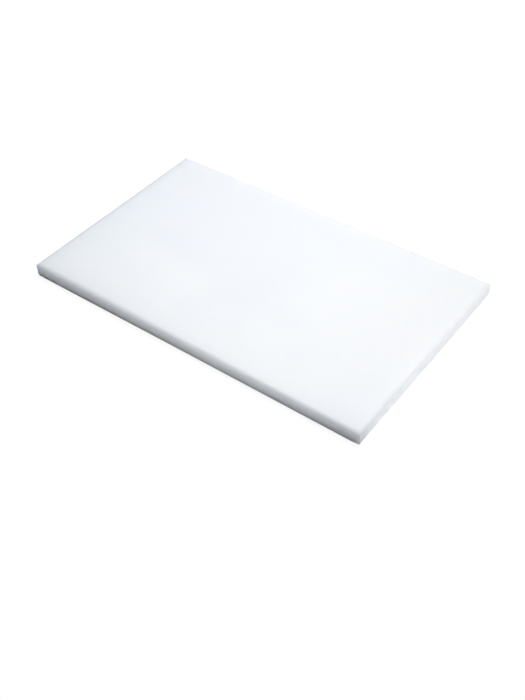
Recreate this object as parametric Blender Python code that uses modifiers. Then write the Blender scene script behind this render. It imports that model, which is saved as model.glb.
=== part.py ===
"""Plastic cutting board: one solid slab of white polyethylene, flat on both faces.

Metres, +Z up. The long side runs along X and the short side along Y. The origin is at the middle
of the face that the board rests on.
"""
import bpy

# Driving dimensions, in metres
BOARD_LENGTH = 0.530
BOARD_WIDTH = 0.325
BOARD_THICKNESS = 0.020
FACE_EDGE_RADIUS = 0.003
UPRIGHT_EDGE_RADIUS = 0.001

# Flat facets across each quarter round
ROUND_FACETS = 4

# Finish of the plastic: cool white, linear colour
PLASTIC_COLOUR = (0.84, 0.88, 0.90, 1.0)
PLASTIC_ROUGHNESS = 0.42
PLASTIC_METALLIC = 0.0

COLLECTION_NAME = "plastic_cutting_board"
EDGE_WEIGHT_NAME = "bevel_weight_edge"


def clear_scene():
    """Remove every object that the new file starts with."""
    for thing in list(bpy.data.objects):
        bpy.data.objects.remove(thing, do_unlink=True)


def make_collection(name):
    """Return a new collection that is linked to the scene."""
    collection = bpy.data.collections.new(name)
    bpy.context.scene.collection.children.link(collection)
    return collection


def make_plastic():
    """Return the white polyethylene, a Principled BSDF with a satin finish."""
    plastic = bpy.data.materials.new("white_polyethylene")
    plastic.use_nodes = True
    shader = plastic.node_tree.nodes["Principled BSDF"]
    shader.inputs["Base Color"].default_value = PLASTIC_COLOUR
    shader.inputs["Roughness"].default_value = PLASTIC_ROUGHNESS
    shader.inputs["Metallic"].default_value = PLASTIC_METALLIC
    return plastic


def is_upright(mesh, edge):
    """Tell whether an edge of the plain block stands along Z."""
    low, high = (mesh.vertices[index].co for index in edge.vertices)
    return low.x == high.x and low.y == high.y


def weigh_edges(mesh, face_edge_radius, upright_edge_radius):
    """Give each edge of the block its own round, as a share of the larger radius."""
    largest = max(face_edge_radius, upright_edge_radius)
    weights = mesh.attributes.new(EDGE_WEIGHT_NAME, "FLOAT", "EDGE")
    for edge in mesh.edges:
        radius = upright_edge_radius if is_upright(mesh, edge) else face_edge_radius
        weights.data[edge.index].value = radius / largest
    return largest


def make_board(collection, plastic):
    """Make the slab: a block on the ground plane, with its edges rounded."""
    bpy.ops.mesh.primitive_cube_add(size=1.0, location=(0.0, 0.0, BOARD_THICKNESS / 2))
    board = bpy.context.active_object
    board.name = "board"
    board.scale = (BOARD_LENGTH, BOARD_WIDTH, BOARD_THICKNESS)
    bpy.ops.object.transform_apply(location=False, rotation=False, scale=True)
    largest_radius = weigh_edges(board.data, FACE_EDGE_RADIUS, UPRIGHT_EDGE_RADIUS)
    rounding = board.modifiers.new("edge_rounds", "BEVEL")
    rounding.limit_method = "WEIGHT"
    rounding.width = largest_radius
    rounding.segments = ROUND_FACETS
    board.data.materials.append(plastic)
    for old_home in list(board.users_collection):
        old_home.objects.unlink(board)
    collection.objects.link(board)
    return board


def main():
    clear_scene()
    collection = make_collection(COLLECTION_NAME)
    make_board(collection, make_plastic())


main()
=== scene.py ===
"""Plastic cutting board: the finish of its surfaces, with camera, floor and light.

The board is one slab of white polyethylene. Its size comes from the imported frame, and this script
gives it its fine surface: pressed faces, milled sides and rounded edges. Metres, +Z up.
"""
from math import cos, pi, radians, sin

import bmesh
import bpy
import numpy as np
from mathutils import Matrix, Vector


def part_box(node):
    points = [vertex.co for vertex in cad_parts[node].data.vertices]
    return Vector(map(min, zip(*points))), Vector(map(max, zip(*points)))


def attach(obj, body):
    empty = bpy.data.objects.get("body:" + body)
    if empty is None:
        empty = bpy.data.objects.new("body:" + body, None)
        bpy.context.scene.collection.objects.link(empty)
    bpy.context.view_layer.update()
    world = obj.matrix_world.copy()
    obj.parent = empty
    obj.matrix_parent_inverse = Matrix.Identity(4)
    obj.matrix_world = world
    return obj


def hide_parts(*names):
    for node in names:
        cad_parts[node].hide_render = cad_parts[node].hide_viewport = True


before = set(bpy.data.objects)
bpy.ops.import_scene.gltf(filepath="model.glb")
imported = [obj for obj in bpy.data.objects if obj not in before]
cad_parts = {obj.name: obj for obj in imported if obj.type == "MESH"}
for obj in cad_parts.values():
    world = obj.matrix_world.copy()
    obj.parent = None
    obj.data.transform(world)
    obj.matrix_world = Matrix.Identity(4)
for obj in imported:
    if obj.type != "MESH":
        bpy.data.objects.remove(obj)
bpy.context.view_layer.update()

# The board in metres: its size from the frame, how far its rounded edges reach in and drop, and
# the radius of its upright corners
BOARD_LOW, BOARD_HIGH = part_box("board")
HALF_LENGTH, HALF_WIDTH = BOARD_HIGH.x, BOARD_HIGH.y
THICKNESS = BOARD_HIGH.z - BOARD_LOW.z
EDGE_REACH = 0.007
EDGE_DROP = 0.003
CORNER_RADIUS = 0.001

# Fineness of the board's mesh: steps in metres, the close ones beside the seams
GRID_STEP = 0.0028
SEAM_STEPS = (0.0004, 0.0012)
EDGE_FACETS = 9
CORNER_FACETS = 5
SIDE_ROWS = 6
WELD_GAP = 1e-7

# Unevenness of the sheet in metres: how high it swells, and its shortest and longest swell.
# The turns, in radians, set apart the swells of the top, the underside and the two pairs of sides.
FACE_SWELL = 0.00006
SIDE_SWELL = 0.00004
SWELL_LENGTHS = (0.05, 0.24)
SWELL_COUNT = 9
GOLDEN_TURN = pi * (3 - 5 ** 0.5)
TOP_TURN, BASE_TURN, END_TURN, SIDE_TURN = 0.4, 2.1, 1.3, 3.0

# The vertex attribute that holds which way the board faces there
FACING = "facing"

# The photograph's view: angles in degrees, distances and the point aimed at in metres, focal
# length and frame height in pixels, and the sensor in millimetres
FRAME_HEIGHT = 700
VIEW_AZIMUTH = 37.812
VIEW_ELEVATION = 44.559
VIEW_ROLL = 1.628
VIEW_FOCAL = 952.5
VIEW_DISTANCE = 1.1883
NEAREST_SEEN = 0.01
AIM_POINT = (0.0920, -0.1162)
SENSOR = 36.0

# The plastic, the same in both finishes: linear colours, and how deep light spreads in it
PLASTIC_COLOUR = (0.873, 0.884, 0.909, 1.0)
PLASTIC_IOR = 1.54
LIGHT_SPREAD = 0.026
LIGHT_SPREAD_BY_COLOUR = (1.0, 0.97, 0.9)

# The clouds in the plastic: partly its own mottling, and partly painted soft reflections. The shift
# picks the part of the noise that drifts as the top does.
CLOUD_AND_SHEEN_COLOUR = (0.922, 0.932, 0.953, 1.0)
CLOUD_SIZE = 0.24
CLOUD_AND_SHEEN_SHIFT = (9.48, 1.176, 1.968)
CLOUD_DETAIL = 2.0
CLOUD_BREAKUP = 0.45
CLOUD_NOISE_SPAN = (0.36, 0.64)

# The skin of both finishes: sizes and depths of grain and ripple in metres, the detail of their
# noise, the span from low to high that fine noise mostly keeps to, and what the grain has of the
# sides' roughness
GRAIN_SIZE = 0.0008
GRAIN_DETAIL = 3.0
RIPPLE_SIZE = 0.009
RIPPLE_DETAIL = 1.0
FINE_NOISE_SPAN = (0.3, 0.7)
FACE_GRAIN_DEPTH = 0.000012
FACE_RIPPLE_DEPTH = 0.000030
FACE_ROUGHNESS = (0.36, 0.46)
SIDE_GRAIN_DEPTH = 0.000008
SIDE_RIPPLE_DEPTH = 0.000020
SIDE_ROUGHNESS = (0.40, 0.52)
SIDE_GRAIN_SHARE = 0.4

# The cutter's marks on the milled sides: pitch and depth in metres, how quickly they change up the
# side, how far apart in the noise the four sides lie, and the slope at which the marks fade out
MARK_COLOUR = (0.872, 0.900, 0.932, 1.0)
MARK_PITCH = 0.0016
MARK_DEPTH = 0.000014
MARK_DRIFT = 30.0
MARK_DETAIL = 1.5
SIDE_NUMBERS = (1, 2, 0)
SIDES_APART = 7.3
MARKS_FADE = (0.05, 0.5)

# The floor in metres: how far it reaches, its height, and where its shadow fades out
FLOOR_REACH = 8.0
FLOOR_LEVEL = -0.00006
FLOOR_FADE = (0.36, 0.62)

# The floor as it lights the board: its paint, the painted shadow at the foot of the front and left
# sides, the painted shade on the stretch toward the near end of the front, and the strip of painted
# light that glows along the right side
FLOOR_PAINT = 0.8
FOOT_SHADOW_WIDTH = 0.03
FRONT_END = (HALF_LENGTH - 0.065, HALF_LENGTH + 0.005)
FRONT_PAINTED_SHADE = 0.72
STRIP_WIDTH = 0.02
STRIP_GLOW = 0.7

# The floor as it is seen: its paint and its glow, and a painted contact shadow, the dark line that
# the glow leaves out under the front and left edges. The line is given by its middle, its soft edge
# and its soft far ends, and by the stretch in which it grows wider to the left, as it does in the
# photograph.
FLOOR_PAINT_SEEN = 0.2
FLOOR_GLOW = 0.9
SHADOW_LINE_MIDDLE = 0.0055
SHADOW_LINE_EDGE = (0.0037, 0.0047)
SHADOW_LINE_FAR_END = (0.004, 0.013)
SHADOW_WIDER_STRETCH = (-HALF_LENGTH, 0.02)
SHADOW_WIDER_BY = 0.0006

# The light: a dome that is brightest to the back, and lamps given by place, width, power and
# colour. The cards are small lamps in the colour of light off a white card.
WHITE = (1.0, 1.0, 1.0)
PALE = (0.985, 0.995, 1.0)
COOL = (0.76, 0.90, 1.0)
CARD_COOL = (0.90, 0.94, 1.0)
BLUE = (0.2, 0.5, 1.0)
DOME_DIRECTION = (0.24, 0.97, 0.0)
DOME_BRIGHTEST = 0.47
LAMPS = {
    "overhead": ((0.03, 0.2, 0.8), 0.8, 6.79, WHITE),
    "behind": ((-0.8, 0.4, 1.0), 0.8, 3.1, COOL),
    "right": ((1.2, 0.1, 0.12), 0.5, 1.72, CARD_COOL),
    "right card": ((0.62, -0.06, 0.14), 0.22, 0.255, CARD_COOL),
    "front card": ((0.14, -0.5, 0.12), 0.3, 0.27, CARD_COOL),
    "front left": ((-0.6, -0.8, 0.6), 0.8, 0.38, BLUE),
}

# Where a Mix node keeps its colour sockets: the two colours that go in, and the one that comes out
FIRST_COLOUR, SECOND_COLOUR, MIXED_COLOUR = 6, 7, 2


def swells(x, y, height, first_turn):
    """Sum of plane waves over x and y, never higher than height.

    Their lengths go from the shortest to the longest swell in even ratios, and each wave takes its
    length's share of the height. Each is headed one golden turn on from the last, and its phase
    moves on by the same turn.
    """
    lengths = np.geomspace(*SWELL_LENGTHS, SWELL_COUNT)
    total = np.zeros(np.broadcast(x, y).shape)
    for number, length in enumerate(lengths):
        heading = first_turn + number * GOLDEN_TURN
        run = x * cos(heading) + y * sin(heading)
        total += np.sin(2 * pi * run / length + heading) * length
    return total * height / lengths.sum()


def spread(half):
    """Stations from -1 to 1 along a run of that half length, close together at both ends."""
    inner = half - SEAM_STEPS[-1]
    middle = np.linspace(-inner, inner, round(2 * inner / GRID_STEP) + 1)[1:-1]
    ends = np.array([half] + [half - gap for gap in SEAM_STEPS])
    return np.concatenate([-ends, middle, ends[::-1]]) / half


def rim_profile():
    """Inset, height and tilt down the rim, from the top face's edge to the underside's.

    A quarter of an ellipse that reaches in by EDGE_REACH and drops by EDGE_DROP, the upright side,
    and the same below. The tilt is the angle between straight up and the surface's outward
    direction.
    """
    turn = np.linspace(0, pi / 2, EDGE_FACETS + 1)
    inset = EDGE_REACH * (1 - np.sin(turn))
    drop = EDGE_DROP * (1 - np.cos(turn))
    lean = np.arctan2(EDGE_DROP * np.sin(turn), EDGE_REACH * np.cos(turn))
    side = np.linspace(THICKNESS - EDGE_DROP, EDGE_DROP, SIDE_ROWS + 1)[1:-1]
    gap = SEAM_STEPS[0]
    side = np.concatenate([[THICKNESS - EDGE_DROP - gap], side, [EDGE_DROP + gap]])
    height = np.concatenate([THICKNESS - drop, side, drop[::-1]])
    tilt = np.concatenate([lean, np.full(len(side), pi / 2), pi - lean[::-1]])
    return np.concatenate([inset, np.zeros(len(side)), inset[::-1]]), height, tilt


def rim(stations_x, stations_y):
    """The rim's points and facings: a row for each step down its profile, a column round it.

    Each row is the board's outline drawn in by the row's inset: four straight runs, and four arcs
    whose radius is what the inset leaves of CORNER_RADIUS. The facing is the outline's own outward
    direction, tilted by the row's tilt.
    """
    inset, height, tilt = (values[:, None] for values in rim_profile())
    corner = np.maximum(CORNER_RADIUS - inset, 0)
    arc = np.linspace(0, pi / 2, CORNER_FACETS + 1)[None, 1:-1]
    columns, headings = [], []
    for quarter in range(4):
        out = np.array([sin(quarter * pi / 2), -cos(quarter * pi / 2)]).round()
        along = np.array([cos(quarter * pi / 2), sin(quarter * pi / 2)]).round()
        halves = (HALF_WIDTH, HALF_LENGTH) if quarter % 2 == 0 else (HALF_LENGTH, HALF_WIDTH)
        stations = (stations_x if quarter % 2 == 0 else stations_y)[None, :]
        depth, reach = (half - inset - corner for half in halves)
        run_out = (depth + corner) * np.ones_like(stations)
        run_along = reach * stations
        turn_out = depth + corner * np.cos(arc)
        turn_along = reach + corner * np.sin(arc)
        outward = np.concatenate([run_out, turn_out], axis=1)
        onward = np.concatenate([run_along, turn_along], axis=1)
        columns.append(outward[..., None] * out + onward[..., None] * along)
        turns = np.concatenate([np.zeros(stations.shape[1]), arc[0]])[:, None]
        headings.append(np.cos(turns) * out + np.sin(turns) * along)
    flat = np.concatenate(columns, axis=1)
    heading = np.broadcast_to(np.concatenate(headings), flat.shape)
    points = np.dstack([flat, np.broadcast_to(height, flat.shape[:2])])
    upward = np.broadcast_to(np.cos(tilt), flat.shape[:2])
    return points, np.dstack([heading * np.sin(tilt)[..., None], upward])


def face(stations_x, stations_y, height, facing):
    """One flat face's points and facings as a grid, whose border is the rim's first or last row."""
    x, y = np.meshgrid(
        stations_x * (HALF_LENGTH - EDGE_REACH), stations_y * (HALF_WIDTH - EDGE_REACH)
    )
    points = np.dstack([x, y, np.full(x.shape, height)])
    return points, np.broadcast_to(np.array([0.0, 0.0, facing]), points.shape)


def swollen(points):
    """Points moved by the sheet's unevenness.

    The move in Z goes evenly from the underside's swells to the top face's. The move in X and Y
    grows with the distance from the middle, so that opposite sides bow in and out together.
    """
    x, y, z = points[..., 0], points[..., 1], points[..., 2]
    share = z / THICKNESS
    top, base = swells(x, y, FACE_SWELL, TOP_TURN), swells(x, y, FACE_SWELL, BASE_TURN)
    lift = top * share + base * (1 - share)
    push_x = swells(y, z, SIDE_SWELL, END_TURN) * x / HALF_LENGTH
    push_y = swells(x, z, SIDE_SWELL, SIDE_TURN) * y / HALF_WIDTH
    return points + np.stack([push_x, push_y, lift], axis=-1)


def grid_quads(rows, columns, first, closed):
    """Corner numbers of the quads of a grid of points, numbered row by row from first.

    In a closed grid, each row's last point joins up with its first.
    """
    number = first + np.arange(rows * columns).reshape(rows, columns)
    if closed:
        number = np.concatenate([number, number[:, :1]], axis=1)
    corners = (number[:-1, :-1], number[1:, :-1], number[1:, 1:], number[:-1, 1:])
    return np.stack(corners, axis=-1).reshape(-1, 4)


def make_slab():
    """The slab as one closed mesh: a rim between two gridded faces, with their seams merged.

    Each sheet is given by its points and facings, whether its rows close, whether its quads are
    turned over, and the number of its material: first the faces' finish, then the rim's.
    """
    stations_x, stations_y = spread(HALF_LENGTH), spread(HALF_WIDTH)
    sheets = (
        (*face(stations_x, stations_y, THICKNESS, 1.0), False, True, 0),
        (*face(stations_x, stations_y, 0.0, -1.0), False, False, 0),
        (*rim(stations_x, stations_y), True, False, 1),
    )
    points, facings, quads, finishes, first = [], [], [], [], 0
    for places, ways, closed, turned, finish in sheets:
        corners = grid_quads(*places.shape[:2], first, closed)
        quads.append(corners[:, ::-1] if turned else corners)
        finishes.append(np.full(len(corners), finish))
        points.append(swollen(places).reshape(-1, 3))
        facings.append(ways.reshape(-1, 3))
        first += len(points[-1])
    mesh = bpy.data.meshes.new("slab")
    mesh.from_pydata(np.concatenate(points), [], np.concatenate(quads))
    mesh.polygons.foreach_set("material_index", np.concatenate(finishes))
    facing = mesh.attributes.new(FACING, "FLOAT_VECTOR", "POINT")
    facing.data.foreach_set("vector", np.concatenate(facings).ravel())
    weld(mesh)
    mesh.shade_smooth()
    slab = bpy.data.objects.new("slab", mesh)
    bpy.context.scene.collection.objects.link(slab)
    return slab


def weld(mesh):
    """Merge the seams' doubled points, and point every face outwards."""
    work = bmesh.new()
    work.from_mesh(mesh)
    bmesh.ops.remove_doubles(work, verts=work.verts, dist=WELD_GAP)
    bmesh.ops.recalc_face_normals(work, faces=work.faces)
    work.to_mesh(mesh)
    work.free()


class Wiring:
    """Adds nodes to one node tree, and joins them up as it goes."""

    def __init__(self, tree):
        self.nodes, self.links = tree.nodes, tree.links

    def feed(self, socket, value):
        """Give an input its value, or link an output to it."""
        if isinstance(value, bpy.types.NodeSocket):
            self.links.new(value, socket)
        else:
            socket.default_value = value

    def add(self, kind, **inputs):
        """A new node, fed by the names of its inputs, with an underscore for each space."""
        node = self.nodes.new("ShaderNode" + kind)
        for name, value in inputs.items():
            self.feed(node.inputs[name.replace("_", " ")], value)
        return node

    def math(self, operation, first, second=0.0):
        """The result of a Math node."""
        node = self.nodes.new("ShaderNodeMath")
        node.operation = operation
        self.feed(node.inputs[0], first)
        self.feed(node.inputs[1], second)
        return node.outputs["Value"]

    def vector_math(self, operation, first, second=(0, 0, 0)):
        """The result of a Vector Math node, a number where the operation gives one."""
        node = self.nodes.new("ShaderNodeVectorMath")
        node.operation = operation
        self.feed(node.inputs[0], first)
        self.feed(node.inputs[1], second)
        return node.outputs["Value" if operation in ("LENGTH", "DOT_PRODUCT") else "Vector"]

    def remap(self, value, low, high, start, end, smooth=False):
        """value carried from the range low to high into the range start to end."""
        given = {"From_Min": low, "From_Max": high, "To_Min": start, "To_Max": end}
        node = self.add("MapRange", Value=value, **given)
        node.interpolation_type = "SMOOTHSTEP" if smooth else "LINEAR"
        return node.outputs["Result"]

    def noise(self, place, size, detail):
        """Noise from 0 to 1 whose largest lumps are that size, in metres."""
        node = self.add("TexNoise", Vector=place, Scale=1 / size, Detail=detail)
        return node.outputs[0]

    def mix_colours(self, share, first, second):
        """Two colours mixed, all first at a share of 0."""
        node = self.nodes.new("ShaderNodeMix")
        node.data_type = "RGBA"
        self.feed(node.inputs["Factor"], share)
        self.feed(node.inputs[FIRST_COLOUR], first)
        self.feed(node.inputs[SECOND_COLOUR], second)
        return node.outputs[MIXED_COLOUR]

    def mix_shaders(self, share, first, second):
        """Two shaders mixed, all first at a share of 0."""
        node = self.add("MixShader", Fac=share)
        self.links.new(first, node.inputs[1])
        self.links.new(second, node.inputs[2])
        return node.outputs[0]

    def add_shaders(self, first, second):
        """The light of two shaders together."""
        node = self.nodes.new("ShaderNodeAddShader")
        self.links.new(first, node.inputs[0])
        self.links.new(second, node.inputs[1])
        return node.outputs[0]

    def background_ray(self):
        """1 for a ray that shows the background: from the camera, off a gloss, or through glass."""
        path = self.nodes.new("ShaderNodeLightPath")
        seen = self.math("MAXIMUM", path.outputs["Is Camera Ray"], path.outputs["Is Glossy Ray"])
        return self.math("MAXIMUM", seen, path.outputs["Is Transmission Ray"])


def new_group(name, inputs, outputs):
    """A shader node group with these named sockets, its wiring, and its sockets from inside.

    inputs and outputs give each socket's kind: Float, Color or Vector.
    """
    group = bpy.data.node_groups.new(name, "ShaderNodeTree")
    for socket, kind in inputs.items():
        group.interface.new_socket(socket, in_out="INPUT", socket_type="NodeSocket" + kind)
    for socket, kind in outputs.items():
        group.interface.new_socket(socket, in_out="OUTPUT", socket_type="NodeSocket" + kind)
    given = group.nodes.new("NodeGroupInput").outputs
    result = group.nodes.new("NodeGroupOutput").inputs
    return group, Wiring(group), given, result


def make_clouds_and_sheen():
    """The slow drift of tone in a thick white sheet: soft clouds of one colour in another.

    The pale clouds are partly the plastic's own mottling and partly painted soft reflections.
    """
    group, wiring, given, result = new_group(
        "clouds_and_sheen",
        {"Place": "Vector", "Colour": "Color", "Cloud Colour": "Color", "Cloud Size": "Float"},
        {"Colour": "Color"},
    )
    place = wiring.vector_math("ADD", given["Place"], CLOUD_AND_SHEEN_SHIFT)
    noise = wiring.add("TexNoise", Vector=place, Detail=CLOUD_DETAIL, Roughness=CLOUD_BREAKUP)
    wiring.feed(noise.inputs["Scale"], wiring.math("DIVIDE", 1.0, given["Cloud Size"]))
    # Pale clouds: partly the sheet's own mottling, partly painted soft reflections
    clouds_with_sheen = wiring.remap(noise.outputs[0], *CLOUD_NOISE_SPAN, 0.0, 1.0, smooth=True)
    colour = wiring.mix_colours(clouds_with_sheen, given["Colour"], given["Cloud Colour"])
    wiring.feed(result["Colour"], colour)
    return group


def make_grain():
    """Fine grain on a shallow ripple, as a height in metres and as a mask from 0 to 1."""
    group, wiring, given, result = new_group(
        "grain",
        {"Place": "Vector", "Grain Depth": "Float", "Ripple Depth": "Float"},
        {"Height": "Float", "Grain": "Float"},
    )
    grain = wiring.noise(given["Place"], GRAIN_SIZE, GRAIN_DETAIL)
    ripple = wiring.noise(given["Place"], RIPPLE_SIZE, RIPPLE_DETAIL)
    fine = wiring.math("MULTIPLY", grain, given["Grain Depth"])
    slow = wiring.math("MULTIPLY", ripple, given["Ripple Depth"])
    wiring.feed(result["Height"], wiring.math("ADD", fine, slow))
    wiring.feed(result["Grain"], wiring.remap(grain, *FINE_NOISE_SPAN, 0.0, 1.0))
    return group


def make_cutter_marks():
    """Upright marks of the cutter on the four sides, as a height in metres and as a mask.

    The run along a side is X where the side faces along Y, and Y where it faces along X. The marks
    are noise that is quick along the run and slow up the side, and they fade out on the rounds.
    """
    group, wiring, given, result = new_group(
        "cutter_marks",
        {"Place": "Vector", "Facing": "Vector", "Pitch": "Float", "Depth": "Float"},
        {"Height": "Float", "Marks": "Float"},
    )
    outward = wiring.vector_math("ABSOLUTE", given["Facing"])
    facing = wiring.add("SeparateXYZ", Vector=outward).outputs
    across = wiring.add("CombineXYZ", X=facing["Y"], Y=facing["X"]).outputs[0]
    run = wiring.vector_math("DOT_PRODUCT", given["Place"], across)
    height = wiring.add("SeparateXYZ", Vector=given["Place"]).outputs["Z"]
    quick = wiring.math("DIVIDE", run, given["Pitch"])
    slow = wiring.math("MULTIPLY", height, MARK_DRIFT)
    number = wiring.vector_math("DOT_PRODUCT", given["Facing"], SIDE_NUMBERS)
    side = wiring.math("MULTIPLY", number, SIDES_APART)
    spot = wiring.add("CombineXYZ", X=quick, Y=slow, Z=side).outputs[0]
    streak = wiring.add("TexNoise", Vector=spot, Detail=MARK_DETAIL, Scale=1.0).outputs[0]
    upright = wiring.remap(facing["Z"], *MARKS_FADE, 1.0, 0.0, smooth=True)
    streaks = wiring.remap(streak, *FINE_NOISE_SPAN, 0.0, 1.0)
    marks = wiring.math("MULTIPLY", streaks, upright)
    wiring.feed(result["Marks"], marks)
    wiring.feed(result["Height"], wiring.math("MULTIPLY", marks, given["Depth"]))
    return group


def use_group(wiring, group, **inputs):
    """The outputs of a node group placed in a material."""
    node = wiring.add("Group")
    node.node_tree = group
    for name, value in inputs.items():
        wiring.feed(node.inputs[name.replace("_", " ")], value)
    return node.outputs


def new_plastic(name, clouds_and_sheen):
    """A polyethylene material with all that both finishes share.

    With it come its shader's inputs, its wiring, the place on the board, and the colour there with
    its clouds, which are partly painted soft reflections.
    """
    plastic = bpy.data.materials.new(name)
    plastic.use_nodes = True
    shader = plastic.node_tree.nodes["Principled BSDF"].inputs
    shader["IOR"].default_value = PLASTIC_IOR
    shader["Subsurface Weight"].default_value = 1.0
    shader["Subsurface Radius"].default_value = LIGHT_SPREAD_BY_COLOUR
    shader["Subsurface Scale"].default_value = LIGHT_SPREAD
    wiring = Wiring(plastic.node_tree)
    place = wiring.add("TexCoord").outputs["Object"]
    clouds_with_sheen = {"Colour": PLASTIC_COLOUR, "Cloud_Colour": CLOUD_AND_SHEEN_COLOUR, "Cloud_Size": CLOUD_SIZE}
    colour = use_group(wiring, clouds_and_sheen, Place=place, **clouds_with_sheen)["Colour"]
    return plastic, shader, wiring, place, colour


def make_face_finish(clouds_and_sheen, grain):
    """Both large faces: pressed smooth, with a fine even grain and a slow drift of tone."""
    plastic, shader, wiring, place, colour = new_plastic("pressed_face", clouds_and_sheen)
    depths = {"Grain_Depth": FACE_GRAIN_DEPTH, "Ripple_Depth": FACE_RIPPLE_DEPTH}
    skin = use_group(wiring, grain, Place=place, **depths)
    bump = wiring.add("Bump", Distance=1.0, Height=skin["Height"])
    wiring.feed(shader["Base Color"], colour)
    wiring.feed(shader["Roughness"], wiring.remap(skin["Grain"], 0.0, 1.0, *FACE_ROUGHNESS))
    wiring.feed(shader["Normal"], bump.outputs["Normal"])
    return plastic


def make_side_finish(clouds_and_sheen, grain, cutter_marks):
    """Sides and rounds: milled, with the cutter's upright marks over the same cloudy plastic.

    Its clouds are partly painted soft reflections, as on the faces.
    """
    plastic, shader, wiring, place, colour = new_plastic("milled_side", clouds_and_sheen)
    facing = wiring.add("Attribute")
    facing.attribute_name = FACING
    depths = {"Grain_Depth": SIDE_GRAIN_DEPTH, "Ripple_Depth": SIDE_RIPPLE_DEPTH}
    skin = use_group(wiring, grain, Place=place, **depths)
    cutter = {"Facing": facing.outputs["Vector"], "Pitch": MARK_PITCH, "Depth": MARK_DEPTH}
    cuts = use_group(wiring, cutter_marks, Place=place, **cutter)
    grainy = wiring.math("MULTIPLY", skin["Grain"], SIDE_GRAIN_SHARE)
    rough = wiring.math("MAXIMUM", cuts["Marks"], grainy)
    height = wiring.math("ADD", skin["Height"], cuts["Height"])
    bump = wiring.add("Bump", Distance=1.0, Height=height)
    wiring.feed(shader["Base Color"], wiring.mix_colours(cuts["Marks"], colour, MARK_COLOUR))
    wiring.feed(shader["Roughness"], wiring.remap(rough, 0.0, 1.0, *SIDE_ROUGHNESS))
    wiring.feed(shader["Normal"], bump.outputs["Normal"])
    return plastic


def make_camera():
    """The photograph's camera: it looks at AIM_POINT on the board's top face."""
    turn, lift = radians(VIEW_AZIMUTH), radians(VIEW_ELEVATION)
    back = Vector((sin(turn) * cos(lift), -cos(turn) * cos(lift), sin(lift)))
    aim = Vector((*AIM_POINT, THICKNESS))
    lens = bpy.data.cameras.new("camera")
    lens.sensor_width = SENSOR
    lens.lens = VIEW_FOCAL / FRAME_HEIGHT * SENSOR
    lens.clip_start = NEAREST_SEEN
    camera = bpy.data.objects.new("camera", lens)
    upright = (-back).to_track_quat("-Z", "Y").to_matrix().to_4x4()
    roll = Matrix.Rotation(radians(-VIEW_ROLL), 4, "Z")
    camera.matrix_world = Matrix.Translation(aim + back * VIEW_DISTANCE) @ upright @ roll
    bpy.context.scene.collection.objects.link(camera)
    bpy.context.scene.camera = camera


def lighting_paint(wiring, axes, front, beyond):
    """The floor as it lights the board: pale paint, and a lit strip along the right side.

    The paint darkens to the foot of the front and left sides, a painted shadow, and a painted shade
    dims it toward the near end of the front. The strip glows as painted light, and it is as long as
    the side that it lies along.
    """
    # Painted shadow at the foot of the front and left sides, and painted shade toward the front's
    # near end
    shade = wiring.remap(wiring.math("ABSOLUTE", beyond), 0.0, FOOT_SHADOW_WIDTH, 0.0, FLOOR_PAINT)
    toward_end = wiring.remap(axes["X"], *FRONT_END, 0.0, FRONT_PAINTED_SHADE, smooth=True)
    front_shade = wiring.math("MULTIPLY", toward_end, wiring.math("GREATER_THAN", front, 0.0))
    shade = wiring.math("MULTIPLY", shade, wiring.math("SUBTRACT", 1.0, front_shade))
    colour = wiring.add("CombineXYZ", X=shade, Y=shade, Z=shade).outputs[0]
    # The strip along the right side glows: painted light
    from_strip = wiring.math("SUBTRACT", axes["X"], HALF_LENGTH + STRIP_WIDTH / 2)
    across = wiring.math("LESS_THAN", wiring.math("ABSOLUTE", from_strip), STRIP_WIDTH / 2)
    past_ends = wiring.math("GREATER_THAN", wiring.math("ABSOLUTE", axes["Y"]), HALF_WIDTH)
    in_strip = wiring.math("GREATER_THAN", across, past_ends)
    strip = wiring.add("Emission", Strength=wiring.math("MULTIPLY", in_strip, STRIP_GLOW))
    paint = wiring.add("BsdfDiffuse", Color=colour)
    return wiring.add_shaders(paint.outputs[0], strip.outputs[0])


def seen_paint(wiring, axes, beyond):
    """The floor as it is seen near the board: dull paint that takes the shadow, made pale by a glow.

    The glow leaves out the dark line of painted contact shadow, a band that runs just inside the
    front and left edges and fades out toward its far ends.
    """
    # Painted contact shadow: the glow is left out along a dark line under the front and left edges
    from_middle = wiring.math("ABSOLUTE", wiring.math("ADD", beyond, SHADOW_LINE_MIDDLE))
    wider = wiring.remap(axes["X"], *SHADOW_WIDER_STRETCH, SHADOW_WIDER_BY, 0.0, smooth=True)
    from_shadow_line = wiring.math("SUBTRACT", from_middle, wider)
    clear = wiring.remap(from_shadow_line, *SHADOW_LINE_EDGE, 0.0, FLOOR_GLOW, smooth=True)
    from_right = wiring.math("SUBTRACT", HALF_LENGTH, axes["X"])
    from_back = wiring.math("SUBTRACT", HALF_WIDTH, axes["Y"])
    from_end = wiring.math("MINIMUM", from_right, from_back)
    past_shadow_line = wiring.remap(from_end, *SHADOW_LINE_FAR_END, FLOOR_GLOW, 0.0, smooth=True)
    glow = wiring.add("Emission", Strength=wiring.math("MAXIMUM", clear, past_shadow_line))
    paint = wiring.add("BsdfDiffuse", Color=(*[FLOOR_PAINT_SEEN] * 3, 1))
    return wiring.add_shaders(paint.outputs[0], glow.outputs[0])


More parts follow.
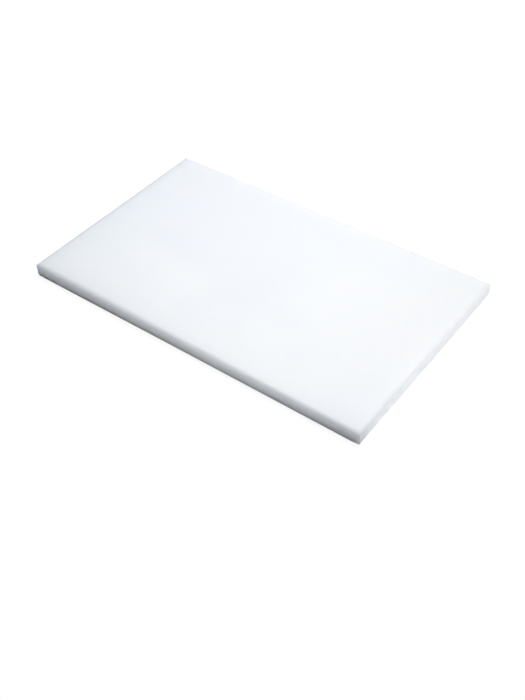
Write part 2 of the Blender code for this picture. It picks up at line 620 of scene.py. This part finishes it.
def make_floor_finish():
    """Matt floor that looks white: it keeps part of the shadow near the board, and glows beyond.

    Rays that show the background meet the seen paint, which fades to plain white with the
    distance. Rays that carry light meet the lighting paint.
    """
    finish = bpy.data.materials.new("floor_finish")
    finish.use_nodes = True
    finish.cycles.emission_sampling = "NONE"
    wiring = Wiring(finish.node_tree)
    wiring.nodes.clear()
    place = wiring.add("TexCoord").outputs["Object"]
    axes = wiring.add("SeparateXYZ", Vector=place).outputs
    front = wiring.math("SUBTRACT", -HALF_WIDTH, axes["Y"])
    left = wiring.math("SUBTRACT", -HALF_LENGTH, axes["X"])
    beyond = wiring.math("MAXIMUM", front, left)
    lighting = lighting_paint(wiring, axes, front, beyond)
    near = seen_paint(wiring, axes, beyond)
    white = wiring.add("Emission", Strength=1.0).outputs[0]
    away = wiring.remap(wiring.vector_math("LENGTH", place), *FLOOR_FADE, 0.0, 1.0, smooth=True)
    seen = wiring.mix_shaders(away, near, white)
    surface = wiring.mix_shaders(wiring.background_ray(), lighting, seen)
    wiring.feed(wiring.add("OutputMaterial").inputs["Surface"], surface)
    return finish


def make_floor():
    """A square floor that just clears the lowest point of the face that lies on it."""
    mesh = bpy.data.meshes.new("floor")
    reach = FLOOR_REACH
    corners = [(-reach, -reach), (reach, -reach), (reach, reach), (-reach, reach)]
    mesh.from_pydata([(*corner, FLOOR_LEVEL) for corner in corners], [], [(0, 1, 2, 3)])
    floor = bpy.data.objects.new("floor", mesh)
    bpy.context.scene.collection.objects.link(floor)
    floor.data.materials.append(make_floor_finish())


def make_world():
    """A dome of soft light, brightest to the back, dark to the front, and seen as plain white."""
    world = bpy.data.worlds.new("studio")
    world.use_nodes = True
    wiring = Wiring(world.node_tree)
    wiring.nodes.clear()
    heading = wiring.add("TexCoord").outputs["Generated"]
    side = wiring.vector_math("DOT_PRODUCT", heading, DOME_DIRECTION)
    strength = wiring.remap(side, 0.0, 1.0, 0.0, DOME_BRIGHTEST)
    light = wiring.add("Background", Color=(*PALE, 1), Strength=strength).outputs[0]
    white = wiring.add("Background", Color=(*WHITE, 1), Strength=1.0).outputs[0]
    surface = wiring.mix_shaders(wiring.background_ray(), light, white)
    wiring.feed(wiring.add("OutputWorld").inputs["Surface"], surface)
    bpy.context.scene.world = world


def make_lamp(name, place, width, power, colour):
    """A round area lamp at that place, turned to the board and hidden from the camera."""
    light = bpy.data.lights.new(name, "AREA")
    light.shape = "DISK"
    light.size = width
    light.energy = power
    light.color = colour
    lamp = bpy.data.objects.new(name, light)
    turned = Vector(place).to_track_quat("Z", "Y").to_matrix().to_4x4()
    lamp.matrix_world = Matrix.Translation(place) @ turned
    lamp.visible_camera = False
    bpy.context.scene.collection.objects.link(lamp)


slab = make_slab()
clouds_and_sheen, grain, cutter_marks = make_clouds_and_sheen(), make_grain(), make_cutter_marks()
slab.data.materials.append(make_face_finish(clouds_and_sheen, grain))
slab.data.materials.append(make_side_finish(clouds_and_sheen, grain, cutter_marks))
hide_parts("board")
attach(slab, "root")
make_floor()
make_world()
for lamp_name, lamp_values in LAMPS.items():
    make_lamp(lamp_name, *lamp_values)
make_camera()

bpy.context.scene.view_settings.view_transform = "Standard"
